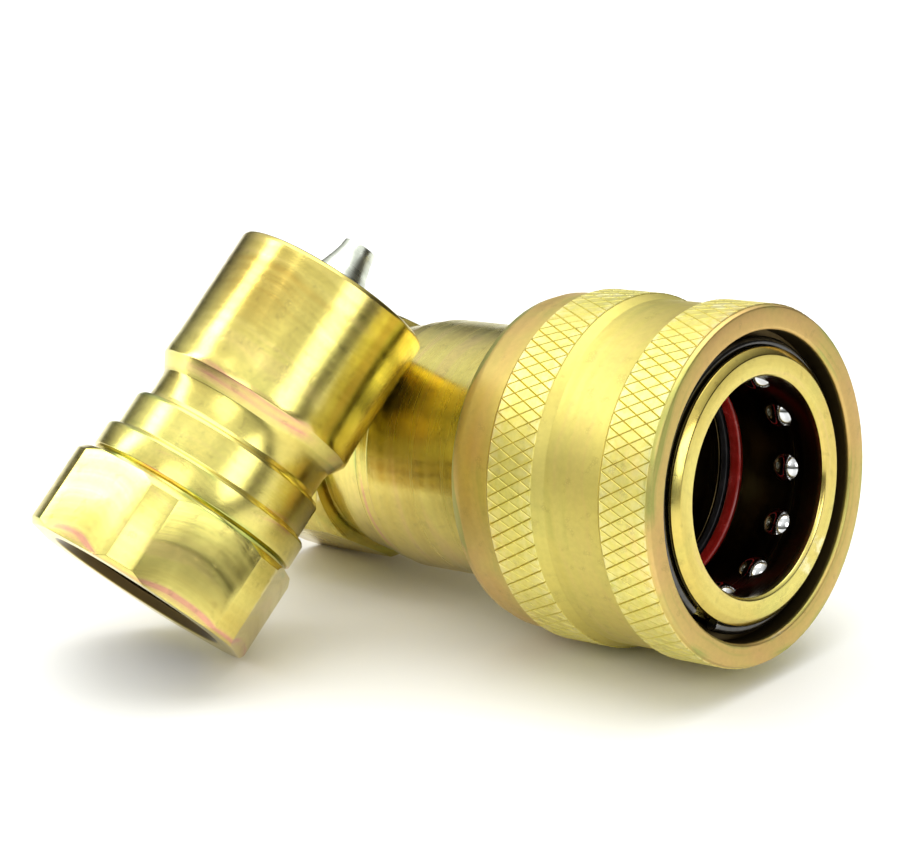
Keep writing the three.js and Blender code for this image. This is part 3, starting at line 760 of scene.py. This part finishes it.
class COUPLER_OT_balls(bpy.types.Operator):
    """Make the twelve locking balls"""
    bl_idname = "coupler.balls"
    bl_label = "Locking balls"

    def execute(self, context):
        sizes = context.scene.coupler_sizes
        bpy.ops.object.select_all(action="DESELECT")
        bpy.ops.mesh.primitive_cube_add(size=sizes.ball * 2 / 3 ** 0.5)
        first = bpy.context.object
        start_edit(first)
        bpy.ops.mesh.select_all(action="SELECT")
        bpy.ops.mesh.subdivide(number_cuts=9)
        bpy.ops.transform.tosphere(value=1)
        bpy.ops.object.mode_set(mode="OBJECT")
        reach = max(v.co.length for v in first.data.vertices)
        first.scale = (sizes.ball / reach,) * 3
        bpy.ops.object.transform_apply(location=False, rotation=False, scale=True)
        for i in range(BALLS):
            angle = ball_angle(i)
            one = first.copy()
            one.data = first.data.copy()
            one.name = one.data.name = f"ball_{i + 1:02d}_finished"
            bpy.context.collection.objects.link(one)
            one.location = (sizes.ball_circle * cos(angle), sizes.ball_circle * sin(angle),
                            -sizes.ball_height)
            one.rotation_euler = (0.7 * i, 1.1 * i, 0)
            bpy.context.view_layer.update()
            node = f"ball_{i + 1:02d}"
            install(one, SOCKET, node, node + "_body", finish("ball steel"), 60)
        bpy.data.objects.remove(first)
        return {"FINISHED"}


# ---------------------------------------------------------------- valves, in both halves

def poppet(sizes, name, face):
    mouth = sizes.seat / MM
    groove, head = mouth - 1.6, sizes.chamber / MM - 0.7
    piece = turn(name, [(r, face + h) for r, h in (
        (2.6, 9), (3.1, 8.9), (3.25, 7.4), (3.65, 5.8), (4.3, 3.9), (4.9, 2.3), (5.7, 0.9),
        (7.0, -0.1), (mouth - 2, -0.6), (mouth - 1.1, -0.6), (mouth - 0.25, -1.45),
        (groove, -1.45), (groove, -3.0), (head - 0.6, -3.0), (head, -3.6), (head, -7.2),
        (8.4, -7.2), (8.0, -9.0), (4.0, -9.0), (4.0, -32.6), (3.6, -33),
    )], sides=96, solid=True)
    start_edit(piece)
    pick(piece, "FACE", lambda f: f.normal.z > 0.99 and f.calc_center_median().z / MM > face + 8.8)
    bpy.ops.mesh.inset(thickness=1.5 * MM, depth=0)
    bpy.ops.transform.translate(value=(0, 0, -0.5 * MM))
    bpy.ops.object.mode_set(mode="OBJECT")
    round_edges(piece, 0.12, 30)
    return piece


def poppet_seal(sizes, name, face):
    mouth = sizes.seat / MM
    piece = turn(name, [(r, face + h) for r, h in (
        (mouth - 1.3, -1.75), (mouth - 0.1, -1.75), (mouth + 0.75, -2.6),
        (mouth + 0.75, -2.7), (mouth - 1.3, -2.7),
    )], sides=96)
    round_edges(piece, 0.1)
    return piece


def coil(name, mean, wire, front, back, turns):
    """Winds a compression spring between two depths, in mm, from its wire's section."""
    bpy.ops.object.select_all(action="DESELECT")
    bpy.ops.mesh.primitive_circle_add(
        vertices=16, radius=wire * MM, location=(mean * MM, 0, (front - wire) * MM),
        rotation=(pi / 2, 0, 0),
    )
    piece = bpy.context.object
    piece.name = piece.data.name = name
    bpy.ops.object.transform_apply(location=True, rotation=True)
    rise = (back - front + 2 * wire) / turns
    apply_modifier(
        piece, "SCREW", axis="Z", angle=2 * pi, screw_offset=rise * MM, iterations=turns,
        steps=36, render_steps=36,
    )
    start_edit(piece)
    bpy.ops.mesh.select_mode(type="EDGE")
    bpy.ops.mesh.select_all(action="SELECT")
    bpy.ops.mesh.remove_doubles(threshold=0.001 * MM)
    bpy.ops.mesh.fill_holes(sides=0)
    bpy.ops.mesh.select_all(action="SELECT")
    bpy.ops.mesh.normals_make_consistent(inside=False)
    bpy.ops.object.mode_set(mode="OBJECT")
    round_edges(piece, wire * 0.2, 50, 2)
    return piece


class COUPLER_OT_springs(bpy.types.Operator):
    """Wind the sleeve spring and both poppet springs"""
    bl_idname = "coupler.springs"
    bl_label = "Springs"

    def execute(self, context):
        self.wind("sleeve", SOCKET, (25.55, 0.8, -14.6, -36.7, 6),
                  "sleeve_slide", SLEEVE_TRAVEL)
        self.wind("socket_poppet", SOCKET, (9.7, 0.65, -52.0, -65.95, 4),
                  "socket_valve_slide", VALVE_TRAVEL)
        self.wind("plug_poppet", PLUG, (9.7, 0.65, -7.5, -21.45, 4),
                  "plug_valve_slide", VALVE_TRAVEL)
        return {"FINISHED"}

    def wind(self, which, matrix, shape, joint, travel):
        """Winds a spring whose shape is its mean radius, wire radius, front, back and turns."""
        half = "plug" if matrix is PLUG else "socket"
        piece = coil(f"{which}_spring_finished", *shape)
        install(piece, matrix, f"{which}_spring", half, finish(f"spring wire of the {half}"), 50)
        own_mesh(piece)


class COUPLER_OT_valves(bpy.types.Operator):
    """Turn both poppets and their seals, and finish the valve pieces behind them"""
    bl_idname = "coupler.valves"
    bl_label = "Valves"

    def execute(self, context):
        sizes = context.scene.coupler_sizes
        for half, matrix, face in (("socket", SOCKET, SOCKET_SEAT), ("plug", PLUG, 0)):
            steel = finish(f"valve steel of the {half}")
            rubber = finish(f"black rubber of the {half}")
            piece = poppet(sizes, f"{half}_poppet_finished", face)
            install(piece, matrix, f"{half}_poppet", f"{half}_valve", steel)
            seal = poppet_seal(sizes, f"{half}_poppet_seal_finished", face)
            install(seal, matrix, f"{half}_poppet_seal", f"{half}_valve", rubber)
            self.repaint(f"{half}_valve_guide", finish(f"zinc of the {half}"))
        self.repaint("plug_guide_circlip", finish("spring wire of the plug"))
        self.repaint("spring_washer", finish("valve steel of the socket"))
        return {"FINISHED"}

    def repaint(self, node, material):
        for slot in frame["nodes"][node].material_slots:
            slot.material = material


# ---------------------------------------------------------------- the plug

class COUPLER_OT_plug_body(bpy.types.Operator):
    """Turn the plug with its locking groove and mill its hexagon"""
    bl_idname = "coupler.plug_body"
    bl_label = "Plug body"

    def execute(self, context):
        sizes = context.scene.coupler_sizes
        barrel, neck = sizes.barrel / MM, sizes.neck / MM
        minor, major = sizes.thread_minor / MM, sizes.thread_major / MM
        guide_bore, chamber = sizes.chamber / MM + 1.55, sizes.chamber / MM
        piece = turn("plug_body_finished", [
            (sizes.seat / MM + 0.6, 0), (barrel - 0.8, 0), (barrel - 0.25, -0.25),
            (barrel, -0.8), (barrel, -21.4), (barrel + 0.1, -23.6), (barrel + 0.2, -24.4),
            (barrel + 0.2, -25.5), (neck + 0.9, -27.3), (neck + 0.2, -28.4), (neck, -29.4),
            (neck, -33.0), (neck + 0.3, -33.7), (18.1, -33.9), (18.5, -34.5), (18.5, -40.4),
            (18.9, -40.8), (19.6, -40.9), (20.0, -41.4), (20.0, -45.6), (19.6, -46.0),
            (18.7, -46.1), (18.7, -46.8), (21.2, -46.9), (22.3, -48.1), (22.3, -62.3),
            (21.4, -PLUG_LENGTH), (major + 0.3, -PLUG_LENGTH), (minor, -61.6),
            *thread(sizes, -61.4, -46.5), (minor, -45.5), (guide_bore, -45.5),
            (guide_bore, -26.6), (guide_bore + 1.15, -26.6), (guide_bore + 1.15, -24.9),
            (guide_bore, -24.9), (guide_bore, -21.5), (chamber, -21.5), *seat(sizes, 0),
            (sizes.seat / MM, -0.6),
        ])
        mill_flats(piece, 41, PLUG_HEX_CORNER)
        round_edges(piece, 0.15, 20)
        install(piece, PLUG, "plug_body", "plug", finish("zinc of the plug"))
        return {"FINISHED"}


# ---------------------------------------------------------------- stage

def soft_light(name, place, aim, size, power, tone):
    data = bpy.data.lights.new(name, "AREA")
    data.shape = "RECTANGLE"
    data.size, data.size_y = size
    data.energy = power
    data.color = tone
    light = bpy.data.objects.new(name, data)
    bpy.context.collection.objects.link(light)
    light.location = place
    light.rotation_euler = (Vector(place) - Vector(aim)).to_track_quat("Z", "Y").to_euler()


class COUPLER_OT_stage(bpy.types.Operator):
    """Lay the pale floor, and set the lights and the camera"""
    bl_idname = "coupler.stage"
    bl_label = "Stage"

    def execute(self, context):
        self.lay_floor()
        self.set_lights(context)
        self.set_camera(context)
        return {"FINISHED"}

    def lay_floor(self):
        bpy.ops.object.select_all(action="DESELECT")
        bpy.ops.mesh.primitive_plane_add(size=8)
        floor = bpy.context.object
        floor.name = "floor"
        material = bpy.data.materials.new("floor")
        material.use_nodes = True
        shader = material.node_tree.nodes["Principled BSDF"]
        shader.inputs["Base Color"].default_value = (0.93, 0.93, 0.92, 1)
        shader.inputs["Roughness"].default_value = 0.55
        floor.data.materials.append(material)

    def set_lights(self, context):
        world = bpy.data.worlds.new("studio")
        world.use_nodes = True
        tree = world.node_tree
        around = add(tree, "TexCoord").outputs["Generated"]
        rise = add(tree, "SeparateXYZ", {"Vector": around}).outputs["Z"]
        side = add(tree, "VectorMath", {0: around, 1: (0.76, 0.65, -0.35)},
                   operation="DOT_PRODUCT").outputs["Value"]
        shade = mix(tree, ramp(tree, rise, 0.05, 0.65), (0.10, 0.10, 0.08, 1),
                    (1.02, 1.03, 1.0, 1))
        shade = mix(tree, ramp(tree, side, 0.25, 0.75), shade, (0.05, 0.045, 0.035, 1))
        tree.links.new(shade, tree.nodes["Background"].inputs["Color"])
        context.scene.world = world
        context.scene.view_settings.view_transform = "Standard"
        middle, bore_mouth = (0, 0, 0.03), (0.05, 0.03, 0.03)
        white = (1, 1, 1)
        soft_light("overhead", (-0.1, 0.1, 0.9), middle, (1.0, 1.0), 6, white)
        soft_light("left bank", (-0.75, -0.35, 0.45), middle, (0.22, 0.9), 3.2, (1, 1, 0.98))
        soft_light("right bank", (0.95, -0.2, 0.45), bore_mouth, (0.4, 0.4), 1.8, white)
        soft_light("front", (0.25, -0.95, 0.7), middle, (0.6, 0.5), 1.8, white)

    def set_camera(self, context):
        data = bpy.data.cameras.new("camera")
        data.lens = 119.9
        data.sensor_width = 36
        camera = bpy.data.objects.new("camera", data)
        context.collection.objects.link(camera)
        camera.location = SOCKET.translation + Vector((272.98, -395.12, 172.69)) * MM
        forward = Vector((-0.6199, 0.7150, -0.3234))
        camera.rotation_euler = forward.to_track_quat("-Z", "Y").to_euler()
        context.scene.camera = camera


# ---------------------------------------------------------------- panel and registration

STEPS = (
    COUPLER_OT_finishes, COUPLER_OT_socket_body, COUPLER_OT_rear_adapter,
    COUPLER_OT_locking_sleeve, COUPLER_OT_snap_ring, COUPLER_OT_socket_seals,
    COUPLER_OT_balls, COUPLER_OT_plug_body, COUPLER_OT_springs, COUPLER_OT_valves,
    COUPLER_OT_stage,
)


class COUPLER_PT_panel(bpy.types.Panel):
    """Sizes, colours and steps of the coupler"""
    bl_idname = "COUPLER_PT_panel"
    bl_label = "Quick Disconnect Coupler"
    bl_space_type = "VIEW_3D"
    bl_region_type = "UI"
    bl_category = "Coupler"

    def draw(self, context):
        for settings in (context.scene.coupler_sizes, context.scene.coupler_colours):
            column = self.layout.column(align=True)
            for key in settings.bl_rna.properties.keys():
                if key not in ("rna_type", "name"):
                    column.prop(settings, key)
        for step in STEPS:
            self.layout.operator(step.bl_idname)


CLASSES = (CouplerSizes, CouplerColours, *STEPS, COUPLER_PT_panel)


def register():
    for one in CLASSES:
        bpy.utils.register_class(one)
    bpy.types.Scene.coupler_sizes = bpy.props.PointerProperty(type=CouplerSizes)
    bpy.types.Scene.coupler_colours = bpy.props.PointerProperty(type=CouplerColours)


def unregister():
    del bpy.types.Scene.coupler_colours
    del bpy.types.Scene.coupler_sizes
    for one in reversed(CLASSES):
        bpy.utils.unregister_class(one)


def main():
    register()
    bpy.ops.coupler.finishes()
    bpy.ops.coupler.socket_body()
    bpy.ops.coupler.rear_adapter()
    bpy.ops.coupler.locking_sleeve()
    bpy.ops.coupler.snap_ring()
    bpy.ops.coupler.socket_seals()
    bpy.ops.coupler.balls()
    bpy.ops.coupler.plug_body()
    bpy.ops.coupler.springs()
    bpy.ops.coupler.valves()
    bpy.ops.coupler.stage()


if __name__ == "__main__":
    main()
